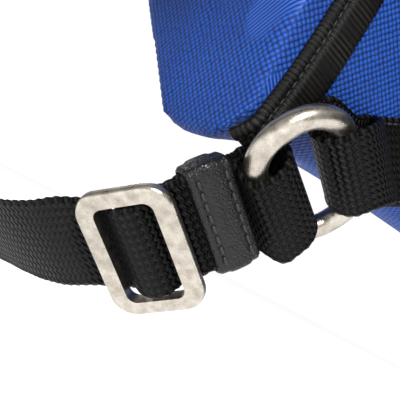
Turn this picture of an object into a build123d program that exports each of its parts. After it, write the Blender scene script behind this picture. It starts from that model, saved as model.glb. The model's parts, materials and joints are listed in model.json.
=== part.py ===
from build123d import *
import os
from math import cos, sin, tan, radians

# Avalanche airbag backpack. Millimetres, +Z up, the wearer's back on the -Y side.
# The model is laid out with z = 0 near the bottom of the back panel and moved at the end so that the
# origin is at the middle of the haul loop, which carries the pack.

# ------------------------------------------------------------------ driving sizes
BACK_HALF = 134.0  # half width at the bottom corners
SIDE_HALF = 138.0  # half width over the straight part of the side walls
BOTTOM = -2.0
BACK_EDGE = 7.0  # the bottom rolls up to the back panel here
TOP = 498.0
FRONT = 158.0  # deepest point of the front
WALL = 3.0  # padded nylon wall
BACK_THICK = 6.0
GAP = 0.6
BINDING_END = 11.5  # height of the tape's folded lower end above the bottom edge

WEBBING = 25.0
WEB_THICK = 1.6
RING_WIRE = 5.8
RING_BARS = 22.5  # between the two bars of the ring
RING_HIGH = 36.0  # along the bars
SLIDER_LONG = 23.5
SLIDER_HIGH = 33.6
SLIDER_WINDOW = 14.5
SLIDER_WINDOW_HIGH = 25.9
SLIDER_THICK = 3.2
CENTRE_BAR = 4.4
KEEPER_WIDE = 11.2
KEEPER_LEATHER = 1.2
KEEPER_AWAY = 12.9  # from the ring's lower bar to the middle of the keeper

PAD_WIDE = 56.0
PAD_THICK = 14.0
YOKE_X = 55.0
PAD_SPLAY = tan(radians(9.0))

COVER_LOW = 452.0  # lower edge of the airbag cover
COVER_BACK = 42.0
HAUL_Y = 22.0
HAUL_TOP = 528.0

# The lower corner fittings on the -X side. Each frame is a centre with two directions.
RING_CENTRE = Vector(-113.9, -5.9, 2.5)
RING_UP = Vector(0.337, -0.410, 0.848).normalized()  # from the strap bar to the tab bar
RING_ALONG = Vector(-0.939, -0.218, 0.268).normalized()  # along the two bars
SLIDER_CENTRE = Vector(-137.3, 7.6, -30.6)
STRAP_TILT = 35.4  # how far the strap's width leans from horizontal
EARLY_TWIST = -7.0  # twist of the slack just beyond the slider, in degrees
LATE_TWIST = -37.3  # twist from there to the pad
STRAP_BEND = 50.0  # how far the strap has turned round the corner at the slider

Y_AXIS = Vector(0, 1, 0)
WIDTH = Vector(-cos(radians(STRAP_TILT)), 0, sin(radians(STRAP_TILT)))
DOWN = Vector(-sin(radians(STRAP_TILT)), 0, -cos(radians(STRAP_TILT)))
RUN = DOWN * cos(radians(STRAP_BEND)) + Y_AXIS * sin(radians(STRAP_BEND))
FACE = DOWN * sin(radians(STRAP_BEND)) - Y_AXIS * cos(radians(STRAP_BEND))
RING_FACE = RING_UP.cross(RING_ALONG).normalized()

parts = {}


def add(name, shape):
    parts[name] = shape


def both_sides(name, shape):
    """The piece on the wearer's right (-X) and its mirror on the left (+X)."""
    add(name + "_right", shape)
    add(name + "_left", mirror(shape, about=Plane.YZ))


def box(x0, x1, y0, y1, z0, z1):
    size = Box(x1 - x0, y1 - y0, z1 - z0)
    return Pos((x0 + x1) / 2, (y0 + y1) / 2, (z0 + z1) / 2) * size


def soft_box(x0, x1, y0, y1, z0, z1, radius):
    solid = box(x0, x1, y0, y1, z0, z1)
    return fillet(solid.edges(), radius)


def ribbon(stations, wide, thick):
    """A flat strap through stations of (centre, width direction), as one ruled solid.

    wide is one width, or a list with a width for each station."""
    sections = []
    last = len(stations) - 1
    for i, (centre, across) in enumerate(stations):
        ahead = stations[min(i + 1, last)][0] - stations[max(i - 1, 0)][0]
        across = across.normalized()
        ahead = (ahead - across * ahead.dot(across)).normalized()
        plane = Plane(origin=centre, x_dir=across, z_dir=ahead)
        width = wide[i] if isinstance(wide, list) else wide
        sections.append(plane * Rectangle(width, thick))
    return loft(sections, ruled=True)


def carried(points, first_width, early, late, change):
    """Carry a width direction along a route without turning it, and add twist in degrees.

    early is the twist spread over the first points, up to number change, and late over the rest."""
    stations = []
    width = first_width
    last = len(points) - 1
    for i, point in enumerate(points):
        ahead = (points[min(i + 1, last)] - points[max(i - 1, 0)]).normalized()
        width = (width - ahead * width.dot(ahead)).normalized()
        turn = early * min(i, change) / change + late * max(i - change, 0) / (last - change)
        turn = radians(turn)
        stations.append((point, width * cos(turn) + ahead.cross(width) * sin(turn)))
    return stations


def on_strap(along, out, drift=0.0):
    """A point in the slider's own frame: along the strap, out of its face, across it."""
    return SLIDER_CENTRE + RUN * along + FACE * out + WIDTH * drift


# ------------------------------------------------------------------ the bag
def side_profile(grow):
    """Outline of the bag seen from the side, in Y and Z."""
    front = [(11, BOTTOM, 9), (27, BOTTOM, 18), (112, 76, 90), (150, 140, 110), (FRONT, 235, 260), (146, 380, 150)]
    front += [(104, 470, 60), (50, TOP, 60)]
    corners = [(0, BACK_EDGE)] + [(y, z) for y, z, radius in front] + [(0, TOP)]
    line = FilletPolyline(*corners, radius=[radius for y, z, radius in front])
    face = make_face(line + Line((0, TOP), (0, BACK_EDGE)))
    if grow:
        face = offset(face, grow)
    return face


def back_outline(grow):
    """Outline of the back panel, in X and Z."""
    half = [(BACK_HALF, BOTTOM), (SIDE_HALF, 100), (SIDE_HALF, 350), (120, 446), (72, TOP)]
    points = half + [(-x, z) for x, z in reversed(half)]
    face = make_face(Polyline(*points, close=True))
    face = fillet(face.vertices().group_by(Axis.Y)[0], 5)
    face = fillet(face.vertices().group_by(Axis.Y)[-1], 60)
    face = fillet([v for v in face.vertices() if 440 < v.Y < 450], 70)
    if grow:
        face = offset(face, grow)
    return face


def plan(grow):
    """Outline from above, with rounded front corners."""
    face = Pos(0, FRONT / 2) * Rectangle(2 * SIDE_HALF + 2, FRONT + 4)
    face = fillet(face.vertices().group_by(Axis.Y)[-1], 46)
    if grow:
        face = offset(face, grow)
    return face


def bag_solid(grow):
    side = extrude(Plane.YZ * side_profile(grow), 300, both=True)
    back = extrude(Plane.XZ * back_outline(grow), 400, both=True)
    above = Pos(0, 0, -100) * extrude(plan(grow), 800)
    return side & back & above


outer = bag_solid(0)
inner = bag_solid(-WALL)
wall = outer - inner
back_slab = box(-200, 200, -10, BACK_THICK, -100, 600)
cover_zone = box(-200, 200, COVER_BACK, 300, COVER_LOW, 600)
cover_gap = box(-200, 200, COVER_BACK - GAP, 300, COVER_LOW - GAP, 600)

back_panel = outer & back_slab
grommet_hole = Pos(YOKE_X, 0, 412) * Rot(90, 0, 0) * Cylinder(6.0, 40)
add("back_panel", back_panel - grommet_hole)
add("bag_shell", wall - back_slab - cover_gap)
add("airbag_cover", wall & cover_zone)

rim = back_outline(1.5) - back_outline(-8.5)
lip = back_outline(1.5) - back_outline(0.1)
above_bottom = box(-300, 300, -50, 50, BOTTOM + BINDING_END, 600)
lower_run = box(-124, 124, -50, 50, -50, 30)
binding = extrude(Plane.XZ * rim, 2.2) + extrude(Plane.XZ * lip, -5.0)
add("edge_binding", (binding & above_bottom) - lower_run)

# ------------------------------------------------------------------ back padding and frame
add("lumbar_pad", soft_box(-50, 50, -14, -0.3, 24, 108, 5))
back_pad = soft_box(-48, -8, -11, -0.3, 128, 385, 4)
both_sides("back_pad", back_pad)
sheet_front = BACK_THICK + 0.3
add("frame_sheet", box(-104, 104, sheet_front, sheet_front + 2, 30, 405))
stay = box(-56, -44, sheet_front + 2.3, sheet_front + 5.3, 40, 400)
add("frame_stays", stay + mirror(stay, about=Plane.YZ))

# ------------------------------------------------------------------ airbag system inside the bag
CYL_X, CYL_Y, CYL_R = 62.0, 58.0, 25.0
CYL_LOW, CYL_HIGH = 120.0, 322.0
cylinder = Pos(CYL_X, CYL_Y, (CYL_LOW + CYL_HIGH) / 2) * Cylinder(CYL_R, CYL_HIGH - CYL_LOW)
cylinder = fillet(cylinder.edges(), 18)
neck = Pos(CYL_X, CYL_Y, CYL_HIGH + 5) * Cylinder(9, 14)
add("gas_cylinder", cylinder + neck)
band = Pos(CYL_X, CYL_Y, 220) * (Cylinder(CYL_R + 2.3, 30) - Cylinder(CYL_R + 0.3, 40))
tie = box(CYL_X - 15, CYL_X + 15, sheet_front + 5.6, CYL_Y - CYL_R - 0.8, 205, 235)
add("cylinder_strap", band + tie)
HEAD_Z = CYL_HIGH + 12.3
head = soft_box(CYL_X - 22, CYL_X + 22, CYL_Y - 20, CYL_Y + 20, HEAD_Z, HEAD_Z + 46, 5)
venturi = Pos(CYL_X - 30, CYL_Y, HEAD_Z + 24) * Rot(0, 90, 0) * (Cylinder(17, 16) - Cylinder(13, 20))
add("inflator_head", head + venturi)
gauge = Pos(CYL_X + 8, CYL_Y - 23.3, HEAD_Z + 24) * Rot(90, 0, 0) * Cylinder(13, 6)
add("pressure_gauge", gauge)
add("folded_airbag", soft_box(-88, 88, 46, 97, 400, 460, 10))
hose_path = FilletPolyline(
    (CYL_X - 38.3, CYL_Y, HEAD_Z + 24), (-10, CYL_Y, HEAD_Z + 24), (-10, CYL_Y, 399.7), radius=16
)
add("gas_hose", sweep(Plane(hose_path @ 0, z_dir=hose_path % 0) * Circle(11), path=hose_path))
cable_path = FilletPolyline(
    (YOKE_X, CYL_Y - 17, HEAD_Z + 46.3),
    (YOKE_X, CYL_Y - 17, 412),
    (YOKE_X, -3.5, 412),
    radius=22,
)
add("trigger_cable", sweep(Plane(cable_path @ 0, z_dir=cable_path % 0) * Circle(2.5), path=cable_path))
grommet = Cylinder(5.8, 6) + Pos(0, 0, 4) * Cylinder(9, 2)
grommet -= Cylinder(2.8, 20)
add("cable_grommet", Pos(YOKE_X, 2.8, 412) * Rot(90, 0, 0) * grommet)

# ------------------------------------------------------------------ zips, pocket and outside webbing
ZIP_Y, ZIP_LOW, ZIP_HIGH = 60.0, 146.0, 334.0
side_x = SIDE_HALF + 0.1
tape = box(side_x, side_x + 1.2, ZIP_Y - 13, ZIP_Y + 13, ZIP_LOW, ZIP_HIGH)
coil = box(side_x + 1.2, side_x + 3.4, ZIP_Y - 3, ZIP_Y + 3, ZIP_LOW, ZIP_HIGH)
add("side_zip_tape", tape + coil)
ZIP_SLIDER_Z = ZIP_HIGH - 14
slider_block = soft_box(side_x + 1.6, side_x + 7, ZIP_Y - 6, ZIP_Y + 6, ZIP_SLIDER_Z - 8, ZIP_SLIDER_Z + 8, 1.5)
slider_block -= box(side_x, side_x + 3.8, ZIP_Y - 3.4, ZIP_Y + 3.4, 0, 500)
tab = box(side_x + 5, side_x + 7, ZIP_Y - 4.5, ZIP_Y + 4.5, ZIP_SLIDER_Z - 40, ZIP_SLIDER_Z)
tab = fillet(tab.edges().filter_by(Axis.X), 2.5)
add("side_zip_slider", slider_block + tab)

POCKET_LOW, POCKET_HIGH, POCKET_HALF, POCKET_DEEP = 128.0, 320.0, 84.0, 24.0
pocket_side = extrude(Plane.YZ * side_profile(POCKET_DEEP), POCKET_HALF, both=True)
pocket_face = Rectangle(2 * POCKET_HALF, POCKET_HIGH - POCKET_LOW)
pocket_face = fillet(pocket_face.vertices().group_by(Axis.Y)[0], 30)
pocket_zone = extrude(Plane.XZ * (Pos(0, (POCKET_LOW + POCKET_HIGH) / 2) * pocket_face), -300)
pocket_zone &= box(-200, 200, 100, 300, 0, 600)
pocket = (pocket_side & pocket_zone) - extrude(Plane.YZ * side_profile(0.3), 300, both=True)
pocket_room = extrude(Plane.YZ * side_profile(POCKET_DEEP - 2.5), POCKET_HALF - 2.5, both=True)
pocket_room &= box(-200, 200, 100, 300, POCKET_LOW + 2.5, POCKET_HIGH - 2.5)
pocket_room -= extrude(Plane.YZ * side_profile(2.5), 300, both=True)
add("tool_pocket", pocket - pocket_room)
PZ = POCKET_HIGH + 0.1
pocket_y = 170.0
p_tape = box(-76, 76, pocket_y - 7, pocket_y + 5, PZ, PZ + 1.2)
p_coil = box(-76, 76, pocket_y - 3, pocket_y + 1, PZ + 1.2, PZ + 3.0)
add("pocket_zip_tape", p_tape + p_coil)
p_block = soft_box(56, 70, pocket_y - 6, pocket_y + 4, PZ + 1.6, PZ + 6.4, 1.2)
p_block -= box(-200, 200, pocket_y - 3.4, pocket_y + 1.4, PZ, PZ + 3.4)
p_tab = box(30, 62, pocket_y - 4.5, pocket_y + 2.5, PZ + 4.6, PZ + 6.4)
add("pocket_zip_slider", p_block + fillet(p_tab.edges().filter_by(Axis.Z), 2.5))

STRAP_Z = (122.0, 358.0)
for sign, name in ((1, "left"), (-1, "right")):
    straps, buckles = [], []
    for z in STRAP_Z:
        x0, x1 = sorted((sign * side_x, sign * (side_x + 1.8)))
        straps.append(box(x0, x1, 8, 104, z - 10, z + 10))
        b0, b1 = sorted((sign * (side_x + 2.0), sign * (side_x + 6.5)))
        buckles.append(soft_box(b0, b1, 76, 98, z - 13, z + 13, 1.5))
    add("compression_straps_" + name, Compound(children=straps))
    add("compression_buckles_" + name, Compound(children=buckles))

haul_points = [(-46, 500.4), (-43, 512), (-32, 523), (-16, 527.2), (0, HAUL_TOP)]
haul_points += [(-x, z) for x, z in reversed(haul_points[:-1])]
haul = ribbon([(Vector(x, HAUL_Y, z), Y_AXIS) for x, z in haul_points], 22, 2.4)
add("haul_loop", haul)
both_sides("haul_anchor", box(-66, -42, HAUL_Y - 12, HAUL_Y + 12, TOP + 0.1, TOP + 0.9))

# ------------------------------------------------------------------ ring, tab, keeper and slider
bar_tab = RING_CENTRE + RING_UP * (RING_BARS / 2)
bar_strap = RING_CENTRE - RING_UP * (RING_BARS / 2)
ring_plane = Plane(origin=RING_CENTRE, x_dir=RING_UP, z_dir=RING_FACE)
ring_line = RectangleRounded(RING_BARS, RING_HIGH, RING_BARS / 2 - 0.6).wire()
ring_section = Plane(origin=(RING_BARS / 2, 0, 0), z_dir=(0, 1, 0)) * Circle(RING_WIRE / 2)
ring = ring_plane.location * sweep(ring_section, path=ring_line)
both_sides("strap_ring", ring)

# The tab leaves the back panel, goes round the upper bar of the ring and comes back.
TAB_ROUND = 6.9  # slack, so that the ring can turn in it
TAB_SHIFT = -2.0  # along the bar
TAB_ACROSS = Vector(-0.70, 0, 0.71)
stitch = Vector(-92.0, 0, 16.0)
tab_run = Vector(0.91, 0, 0.41)
blend = (RING_ALONG + TAB_ACROSS).normalized()


def round_tab(angle):
    a = radians(angle)
    start = bar_tab + RING_ALONG * TAB_SHIFT - RING_UP * 1.5
    return start + RING_FACE * (TAB_ROUND * cos(a)) - RING_UP * (TAB_ROUND * sin(a))


tab_stations = [
    (stitch + tab_run * 22 + Vector(0, -2.7, 0), TAB_ACROSS),
    (stitch + Vector(0, -2.9, 0), TAB_ACROSS),
    ((stitch + bar_tab) * 0.5 + Vector(3, -6.2, 1.0), blend),
]
tab_stations += [(round_tab(a), blend) for a in range(0, 181, 30)]
tab_stations += [
    ((stitch + bar_tab) * 0.5 + Vector(3, 2.0, 1.0), blend),
    (stitch + Vector(0, -1.2, 0), TAB_ACROSS),
    (stitch + tab_run * 22 + Vector(0, -1.05, 0), TAB_ACROSS),
]
both_sides("lower_tab", ribbon(tab_stations, WEBBING, WEB_THICK))

# The strap: one length of webbing from the slider's centre bar, back through the keeper, round the
# lower bar of the ring, forward through the keeper, over the centre bar and away to the pad.
LOOP_ROUND = RING_WIRE / 2 + WEB_THICK / 2 + 2.8
strap_dir = (on_strap(-11, -3.6) - bar_strap).normalized()
keeper_mid = bar_strap + strap_dir * KEEPER_AWAY
keeper_face = strap_dir.cross(WIDTH).normalized()
if keeper_face.Y > 0:
    keeper_face = keeper_face * -1
HALF = WEB_THICK / 2 + 0.05
IN_KEEPER = KEEPER_WIDE / 2 + 0.3


def round_ring(angle):
    a = radians(angle)
    return bar_strap + RING_UP * 1.8 + RING_FACE * (LOOP_ROUND * cos(a)) + RING_UP * (LOOP_ROUND * sin(a))


loop_blend = (RING_ALONG * 0.4 + WIDTH * 0.6).normalized()
strap_stations = [
    (on_strap(0.3, -3.0), WIDTH),
    (on_strap(-4, -4.2), WIDTH),
    (on_strap(-10, -4.75), WIDTH),
    (keeper_mid + strap_dir * IN_KEEPER - keeper_face * HALF, WIDTH),
    (keeper_mid - strap_dir * IN_KEEPER - keeper_face * HALF, WIDTH),
]
strap_stations.append((bar_strap - RING_UP * 2.2 - RING_FACE * 5.7, loop_blend))
strap_stations += [(round_ring(a), loop_blend) for a in range(180, -1, -30)]
strap_stations.append((bar_strap - RING_UP * 2.6 + RING_FACE * 6.0, loop_blend))
strap_stations += [
    (keeper_mid - strap_dir * IN_KEEPER + keeper_face * HALF, WIDTH),
    (keeper_mid + strap_dir * IN_KEEPER + keeper_face * HALF, WIDTH),
    (on_strap(-10, -3.0), WIDTH),
    (on_strap(-6.4, -2.7), WIDTH),
    (on_strap(-2.4, 0.95), WIDTH),
    (on_strap(2.4, 0.95), WIDTH),
    (on_strap(6.4, -2.7), WIDTH),
    (on_strap(11, -2.95), WIDTH),
    (on_strap(16, -2.6), WIDTH),
]

# Beyond the slider the slack runs back beside the bag, bows outward and up, and returns to the pad.
PAD_END_Z = 200.0
pad_end = Vector(-(YOKE_X + (442 - PAD_END_Z) * PAD_SPLAY), -84.5, PAD_END_Z)
pad_end_dir = (pad_end - Vector(-(YOKE_X + (442 - 245) * PAD_SPLAY), -91, 245)).normalized()
slack_points = [on_strap(16, -2.6), on_strap(24, -3.6), on_strap(32, -6.5), on_strap(40, -10.8)]
bow = [
    (-148.5, 54.5, -45.5),
    (-150.5, 64, -46),
    (-154.5, 73.5, -43.5),
    (-161, 81, -38),
    (-169, 84.5, -29),
    (-176, 84, -18),
    (-181, 80, -5),
    (-184, 74, 7),
    (-185, 64, 20),
    (-184.5, 52, 33),
    (-182, 38, 46),
    (-179, 22, 58),
    (-175, 5, 70),
    (-170, -12, 84),
    (-163, -29, 99),
    (-154, -44, 115),
    (-143, -57, 131),
    (-130, -68, 147),
    (-116, -76, 162),
    (-105, -80.5, 176),
]
slack_points += [Vector(*point) for point in bow]
slack_points += [pad_end + pad_end_dir * 10, pad_end + pad_end_dir * 0.15]
slack_stations = carried(slack_points, WIDTH, EARLY_TWIST, LATE_TWIST, 4)
lower_strap = ribbon(strap_stations[:-1] + slack_stations, WEBBING, WEB_THICK)
both_sides("lower_strap", lower_strap)

keeper_plane = Plane(origin=keeper_mid, x_dir=WIDTH, z_dir=strap_dir)
hole_size = (WEBBING + 0.8, 2 * WEB_THICK + 1.3)
skin = RectangleRounded(hole_size[0] + 2 * KEEPER_LEATHER, hole_size[1] + 2 * KEEPER_LEATHER, 1.4)
keeper = extrude(keeper_plane * (skin - Rectangle(*hole_size)), KEEPER_WIDE / 2, both=True)
both_sides("leather_keeper", keeper)

slider_plane = Plane(origin=SLIDER_CENTRE, x_dir=RUN, z_dir=FACE)
frame_outline = RectangleRounded(SLIDER_LONG, SLIDER_HIGH, 6.0)
frame_window = RectangleRounded(SLIDER_WINDOW, SLIDER_WINDOW_HIGH, 2.4)
slider = extrude(slider_plane * (frame_outline - frame_window), SLIDER_THICK / 2, both=True)
slider = fillet(slider.edges().filter_by(GeomType.LINE).group_by(SortBy.LENGTH)[-1], 1.2)
rod = slider_plane * Pos(0, 0, -0.75) * Box(CENTRE_BAR, SLIDER_WINDOW_HIGH + 2, 1.5)
both_sides("slider_buckle", slider + rod)

# ------------------------------------------------------------------ shoulder pads
pad_route = [(-14, 432), (-17, 455), (-34, 480), (-60, 474), (-82, 436), (-94, 375)]
pad_route += [(-96, 305), (-91, 245), (-84.5, PAD_END_Z)]
pad_across = Vector(-1, 0, PAD_SPLAY)
pad_stations = []
for y, z in pad_route:
    centre = Vector(-(YOKE_X + (442 - z) * PAD_SPLAY), y, z)
    pad_stations.append((centre, pad_across))
pad_widths = [32.0, 38.0, 48.0, PAD_WIDE, PAD_WIDE, PAD_WIDE, PAD_WIDE, 52.0, 46.0]
both_sides("shoulder_pad", ribbon(pad_stations, pad_widths, PAD_THICK))
yoke_patch = box(-YOKE_X - 20, -YOKE_X + 20, -2.4, -0.3, 424, 462)
both_sides("yoke_anchor", yoke_patch + box(-YOKE_X - 8, -YOKE_X + 4, -5.6, -1, 428, 450))

STERNUM_Z = 330.0
STERNUM_Y = -95.0
PIN_X = YOKE_X + (442 - STERNUM_Z) * PAD_SPLAY - PAD_WIDE / 2 - 6.0
pin = Pos(PIN_X, STERNUM_Y, STERNUM_Z) * Cylinder(1.4, 26)
for z in (STERNUM_Z - 11.5, STERNUM_Z + 11.5):
    pin += box(PIN_X - 1.4, PIN_X + 3.2, STERNUM_Y - 1.4, STERNUM_Y + 1.4, z - 1.5, z + 1.5)
add("sternum_anchor_left", pin)
add("sternum_anchor_right", mirror(pin, about=Plane.YZ))
web = box(14.5, PIN_X, STERNUM_Y - 0.9, STERNUM_Y + 0.9, STERNUM_Z - 9, STERNUM_Z + 9)
hem = web + Pos(PIN_X, STERNUM_Y, STERNUM_Z) * Cylinder(2.9, 18)
hem -= Pos(PIN_X, STERNUM_Y, STERNUM_Z) * Cylinder(1.8, 30)
add("sternum_strap_left", hem)
add("sternum_strap_right", mirror(hem, about=Plane.YZ))
clip = soft_box(16.2, 33, STERNUM_Y - 4.5, STERNUM_Y - 1.1, STERNUM_Z - 12, STERNUM_Z + 12, 1.5)
clip -= box(18, 30, STERNUM_Y - 20, STERNUM_Y - 3.6, STERNUM_Z - 5, STERNUM_Z + 5)
prongs = box(8, 17, STERNUM_Y - 3.6, STERNUM_Y - 2.0, STERNUM_Z - 8, STERNUM_Z - 4)
prongs += box(8, 17, STERNUM_Y - 3.6, STERNUM_Y - 2.0, STERNUM_Z + 4, STERNUM_Z + 8)
add("sternum_buckle_socket", clip)
add("sternum_buckle_plug", mirror(clip + prongs, about=Plane.YZ))

# ------------------------------------------------------------------ trigger on the left shoulder strap
TRIGGER_Z = 305.0
trigger_x = YOKE_X + (442 - TRIGGER_Z) * PAD_SPLAY
face_y = -96 - PAD_THICK / 2 - 0.9
holder = soft_box(trigger_x - 15, trigger_x + 15, face_y - 12, face_y, TRIGGER_Z - 24, TRIGGER_Z + 12, 3)
holder -= box(trigger_x - 7.6, trigger_x + 7.6, face_y - 9.2, face_y - 2.8, TRIGGER_Z - 60, TRIGGER_Z + 4)
add("trigger_holder", holder)
shank = box(trigger_x - 7, trigger_x + 7, face_y - 8.6, face_y - 3.4, TRIGGER_Z - 44, TRIGGER_Z + 3)
grip = soft_box(trigger_x - 22, trigger_x + 22, face_y - 15, face_y + 1.0 - 2.2, TRIGGER_Z - 62, TRIGGER_Z - 42, 4.5)
add("trigger_handle", shank + grip)

# ------------------------------------------------------------------ hip belt
BELT_Z = 54.0
WING_HIGH = 62.0
belt_hinge = Vector(-58, -8.5, BELT_Z)
wing_points = [(-59, -12), (-67, -30), (-78, -62), (-82, -96), (-78, -128)]
wing = ribbon([(Vector(x, y, BELT_Z), Vector(0, 0, 1)) for x, y in wing_points], WING_HIGH, 12)
wing += Pos(belt_hinge.X, belt_hinge.Y, BELT_Z) * Cylinder(6.4, WING_HIGH)
both_sides("hip_wing", wing)
belt_points = [(-77.8, -129), (-68, -146), (-50, -156), (-30, -160)]
belt = ribbon([(Vector(x, y, BELT_Z), Vector(0, 0, 1)) for x, y in belt_points], 30, 2)
both_sides("belt_webbing", belt)
socket = soft_box(6, 31, -167, -161.3, BELT_Z - 20, BELT_Z + 20, 2)
plug = soft_box(-31, -10, -166, -161.3, BELT_Z - 19, BELT_Z + 19, 2)
plug += box(-14, -5, -165, -162.3, BELT_Z - 12, BELT_Z + 12)
add("belt_buckle_socket", socket)
add("belt_buckle_plug", plug)

# ------------------------------------------------------------------ output
os.makedirs("parts", exist_ok=True)
to_origin = Pos(0, -HAUL_Y, -(HAUL_TOP - 1.2))
for name, shape in parts.items():
    moved = to_origin * shape
    export_step(Compound(children=list(moved.solids())) if len(moved.solids()) > 1 else moved.solids()[0],
                "parts/" + name + ".step")
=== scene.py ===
import json
import math

import bmesh
import bpy
import numpy as np
from mathutils import Matrix, Vector

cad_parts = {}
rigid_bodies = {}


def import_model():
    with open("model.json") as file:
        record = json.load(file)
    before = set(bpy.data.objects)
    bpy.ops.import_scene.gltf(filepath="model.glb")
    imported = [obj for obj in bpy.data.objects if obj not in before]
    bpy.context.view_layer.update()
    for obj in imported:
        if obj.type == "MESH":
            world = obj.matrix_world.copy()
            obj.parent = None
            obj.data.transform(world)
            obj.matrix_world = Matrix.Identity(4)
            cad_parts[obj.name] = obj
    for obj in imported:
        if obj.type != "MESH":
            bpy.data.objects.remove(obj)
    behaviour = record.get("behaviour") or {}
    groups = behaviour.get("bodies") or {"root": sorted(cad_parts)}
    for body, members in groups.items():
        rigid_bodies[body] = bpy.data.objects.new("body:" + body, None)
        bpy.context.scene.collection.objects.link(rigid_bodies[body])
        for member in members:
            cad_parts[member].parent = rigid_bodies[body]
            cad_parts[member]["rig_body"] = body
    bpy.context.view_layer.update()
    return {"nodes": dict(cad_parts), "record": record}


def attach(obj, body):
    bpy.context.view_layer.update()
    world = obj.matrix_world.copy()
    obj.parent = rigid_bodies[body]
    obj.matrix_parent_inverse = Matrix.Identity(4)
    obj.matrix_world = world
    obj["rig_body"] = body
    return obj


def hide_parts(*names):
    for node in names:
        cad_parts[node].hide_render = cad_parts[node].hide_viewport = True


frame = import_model()
NODES = frame["nodes"]

# The lengths below are millimetres in the layout where z = 0 is near the bottom of the back panel.
TO_ROW = Vector((0.0, -22.0, -526.8))
MM = 0.001


def row(p):
    return (Vector(p) + TO_ROW) * MM


# ------------------------------------------------------------------ material helpers
class Look:
    """A node material with short calls for the nodes that the looks below use."""

    def __init__(self, name):
        self.mat = bpy.data.materials.new(name)
        self.mat.use_nodes = True
        self.tree = self.mat.node_tree
        self.bsdf = self.tree.nodes["Principled BSDF"]

    def plug(self, socket, value):
        if isinstance(value, bpy.types.NodeSocket):
            self.tree.links.new(value, socket)
        elif value is not None:
            socket.default_value = value

    def node(self, kind, props=None, **inputs):
        n = self.tree.nodes.new("ShaderNode" + kind)
        for key, value in (props or {}).items():
            setattr(n, key, value)
        for key, value in inputs.items():
            self.plug(n.inputs[key], value)
        return n

    def math(self, op, a, b=None):
        n = self.tree.nodes.new("ShaderNodeMath")
        n.operation = op
        self.plug(n.inputs[0], a)
        self.plug(n.inputs[1], b)
        return n.outputs[0]

    def noise(self, vector, scale, detail=2.0):
        return self.node("TexNoise", Vector=vector, Scale=scale, Detail=detail).outputs[0]

    def ramp(self, fac, *stops):
        n = self.node("ValToRGB", Fac=fac)
        elements = n.color_ramp.elements
        while len(elements) < len(stops):
            elements.new(0.5)
        for element, (place, colour) in zip(elements, stops):
            element.position = place
            element.color = colour if len(colour) == 4 else (*colour, 1)
        return n.outputs[0]

    def level(self, fac, low, high):
        return self.ramp(fac, (low, (0, 0, 0)), (high, (1, 1, 1)))

    def mix(self, fac, a, b):
        n = self.tree.nodes.new("ShaderNodeMix")
        n.data_type = "RGBA"
        self.plug(n.inputs[0], fac)
        for socket, value in ((n.inputs[6], a), (n.inputs[7], b)):
            self.plug(socket, (*value, 1) if isinstance(value, tuple) and len(value) == 3 else value)
        return n.outputs[2]

    def bump(self, height, distance, strength=1.0, normal=None):
        n = self.node("Bump", Height=height, Distance=distance, Strength=strength)
        self.plug(n.inputs["Normal"], normal)
        return n.outputs[0]

    def place(self, which="Object"):
        return self.node("TexCoord").outputs[which]

    def done(self, colour, roughness, normal=None, **more):
        self.plug(self.bsdf.inputs["Base Color"], (*colour, 1) if isinstance(colour, tuple) else colour)
        self.plug(self.bsdf.inputs["Roughness"], roughness)
        self.plug(self.bsdf.inputs["Normal"], normal)
        for key, value in more.items():
            self.bsdf.inputs[key.replace("_", " ")].default_value = value
        return self.mat


def nylon(name, light, gap, pitch=0.00138):
    """Woven nylon: raised dots in offset rows, with a few large soft lobes in a flat striped satin weave. The
    dots carry the lit blue, and gap is a darker blue painted between them as shade.
    """
    k = Look(name)
    uv = k.place("UV")
    turned = k.node("Mapping", Vector=uv, Rotation=(0, 0, math.radians(45))).outputs[0]
    flat = {"voronoi_dimensions": "2D"}
    cells = k.node("TexVoronoi", flat, Vector=turned, Scale=1 / pitch, Randomness=0.14)
    dot = k.ramp(cells.outputs["Distance"], (0.2, (1, 1, 1)), (0.6, (0, 0, 0)))
    figure = k.level(k.noise(uv, 24.0, 0.8), 0.6, 0.615)
    stripes = k.node("TexWave", {"bands_direction": "DIAGONAL"}, Vector=uv, Scale=420.0).outputs["Fac"]
    satin = k.mix(stripes, gap, tuple(min(1.0, c * 1.15 + 0.02) for c in light))
    # painted shade: the recesses between the raised dots take the darker gap blue
    weave = k.mix(dot, gap, light)
    weave = k.mix(k.math("MULTIPLY", k.level(k.noise(uv, 40.0, 2.0), 0.3, 0.75), 0.35), weave, gap)
    base = k.mix(figure, weave, satin)
    relief = k.mix(figure, dot, k.math("MULTIPLY", stripes, 0.35))
    rough = k.math("SUBTRACT", 0.6, k.math("MULTIPLY", figure, 0.15))
    threads = k.node("TexWave", {"bands_direction": "DIAGONAL"}, Vector=uv, Scale=700.0, Distortion=0.4)
    fine = k.bump(threads.outputs["Fac"], 0.00005, 0.3)
    normal = k.bump(relief, 0.00035, 0.9, fine)
    return k.done(base, rough, normal, Specular_IOR_Level=0.3)


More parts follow.
